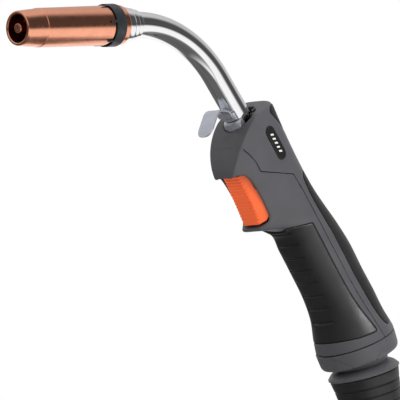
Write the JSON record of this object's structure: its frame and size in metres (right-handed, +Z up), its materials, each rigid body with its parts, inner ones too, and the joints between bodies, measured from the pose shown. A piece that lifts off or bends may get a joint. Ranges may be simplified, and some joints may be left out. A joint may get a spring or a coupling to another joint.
{
  "type": "mig welding torch",
  "caption": "Pistol-grip MIG welding torch with copper gas nozzle, bent chrome neck, hanging hook, trigger, rubber grips and ball-jointed cable boot.",
  "frame": {"origin": "middle of the hand grip, where the hand holds the torch", "axes": "-X towards the gas nozzle, +Z up, the torch in its working attitude and symmetric about Y = 0"},
  "size_m": [0.329, 0.0524, 0.2924],
  "materials": {
    "copper": "turned and polished copper",
    "blackened": "blue-black spring steel",
    "chrome": "polished chrome plate",
    "brass": "turned brass",
    "steel": "satin steel sheet",
    "liner": "drawn steel",
    "insulation": "moulded insulation",
    "ceramic": "red moulded insulation",
    "shell": "fine-textured glass-filled nylon",
    "dark_plastic": "smooth nylon",
    "black_plastic": "smooth nylon",
    "badge": "glossy black oval plate",
    "trigger": "satin orange nylon",
    "rubber": "soft overmoulded rubber",
    "boot_rubber": "black rubber"
  },
  "bodies": {
    "handle": {"back_shell": "shell", "front_shell": "shell", "front_grip": "rubber", "back_grip": "rubber", "nose_insert": "rubber", "badge_left": "badge", "badge_right": "badge", "neck_sleeve": "steel", "hanging_hook": "steel", "swan_neck_tube": "chrome", "wire_liner": "liner", "neck_head": "brass", "neck_collar": "chrome", "nozzle_insulator": "insulation", "gas_diffuser": "ceramic", "tip_holder": "brass", "contact_tip": "copper", "neck_block": "brass", "power_stud": "brass", "gas_barb": "brass", "water_barb": "brass", "liner_nut": "brass", "clamp_screw": "liner", "switch_body": "black_plastic", "switch_terminal_1": "brass", "switch_terminal_2": "brass", "trigger_pin": "liner", "trigger_spring": "liner", "rear_collar": "shell"},
    "nozzle": {"gas_nozzle": "copper", "nozzle_band": "blackened"},
    "trigger": {"trigger": "trigger"},
    "plunger": {"switch_plunger": "trigger"},
    "swivel_ring": {"ball_seat": "black_plastic"},
    "ball": {"ball_swivel": "dark_plastic"},
    "boot": {"cable_boot": "boot_rubber"}
  },
  "joints": [
    {"name": "nozzle_pull_off", "type": "slide", "parent": "handle", "child": "nozzle", "axis": [-0.9962, 0, -0.0872], "range_m": [0, 0.03]},
    {"name": "trigger_press", "type": "hinge", "parent": "handle", "child": "trigger", "pos_m": [-0.06519, 0, 0.0472], "axis": [0, -1, 0], "range_deg": [0, 4.5], "stiffness_Nm_per_rad": 1.2, "springref_deg": -8.59},
    {"name": "plunger_press", "type": "slide", "parent": "handle", "child": "plunger", "axis": [0.809, 0, 0.5878], "range_m": [0, 0.0011]},
    {"name": "cable_roll", "type": "hinge", "parent": "handle", "child": "swivel_ring", "pos_m": [0.03042, 0, -0.05021], "axis": [0.4384, 0, -0.8988], "continuous": true},
    {"name": "cable_tilt", "type": "hinge", "parent": "swivel_ring", "child": "ball", "pos_m": [0.03402, 0, -0.05758], "axis": [0, 1, 0], "range_deg": [-16, 6]},
    {"name": "boot_turn", "type": "hinge", "parent": "ball", "child": "boot", "pos_m": [0.03402, 0, -0.05758], "axis": [0.342, 0, -0.9397], "continuous": true}
  ],
  "couplings": [
    {"joint": "plunger_press", "follows": "trigger_press", "m_per_rad": 0.0135}
  ]
}
